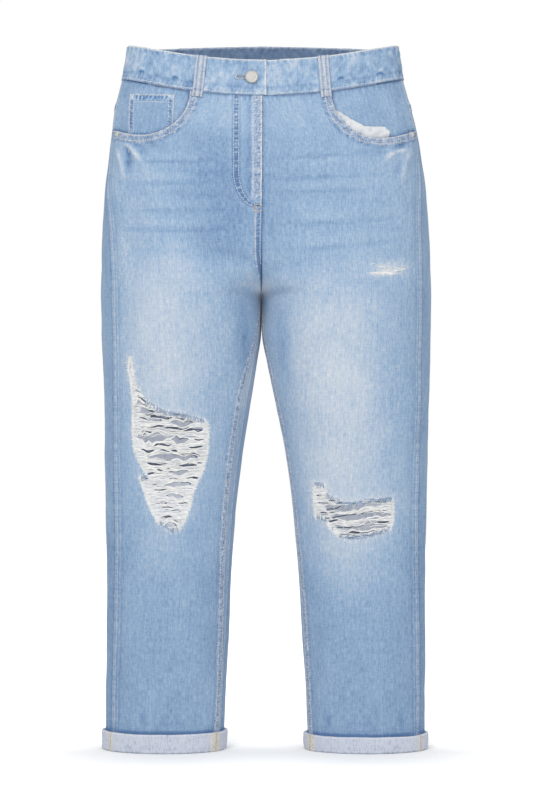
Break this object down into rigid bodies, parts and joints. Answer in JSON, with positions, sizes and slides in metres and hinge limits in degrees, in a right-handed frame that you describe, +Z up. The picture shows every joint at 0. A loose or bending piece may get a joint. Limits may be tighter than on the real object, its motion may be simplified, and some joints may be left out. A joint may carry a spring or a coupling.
{
  "type": "ripped jeans",
  "caption": "Light-wash five-pocket jeans with torn knees and turned-up cuffs, filled out and upright with no wearer, open at the waist and both legs.",
  "frame": {"origin": "in the middle of the waistband's ring, halfway up it at the sides, where a wearer's waist holds the jeans up", "axes": "+Z up, -Y the front with the fly, +X the wearer's left leg, so -X is the wearer's right leg"},
  "size_m": [0.427, 0.2013, 0.922],
  "materials": {
    "denim": "worn light blue twill",
    "loop_denim": "rubbed pale blue twill",
    "denim_reverse": "pale reverse side of the twill",
    "pocket_cloth": "plain woven cotton",
    "white_thread": "bare cotton weft",
    "button_metal": "satin",
    "rivet_metal": "dulled"
  },
  "bodies": {
    "root": {"front_right": "denim", "front_left": "denim", "back_right": "denim", "back_left": "denim", "yoke_right": "denim", "yoke_left": "denim", "back_pocket_right": "denim", "back_pocket_left": "denim", "pocket_facing_right": "denim", "pocket_facing_left": "denim", "coin_pocket": "denim", "pocket_bag_left": "pocket_cloth", "fly_shield": "denim", "waistband": "denim", "belt_loop_front_right": "loop_denim", "belt_loop_front_left": "loop_denim", "belt_loop_back_right": "loop_denim", "belt_loop_back_left": "loop_denim", "belt_loop_back_centre": "loop_denim", "cuff_right": "denim_reverse", "cuff_left": "denim_reverse", "rip_threads_right": "white_thread", "rip_threads_left": "white_thread", "button": "button_metal", "rivet_right": "rivet_metal", "rivet_left": "rivet_metal"}
  },
  "joints": []
}
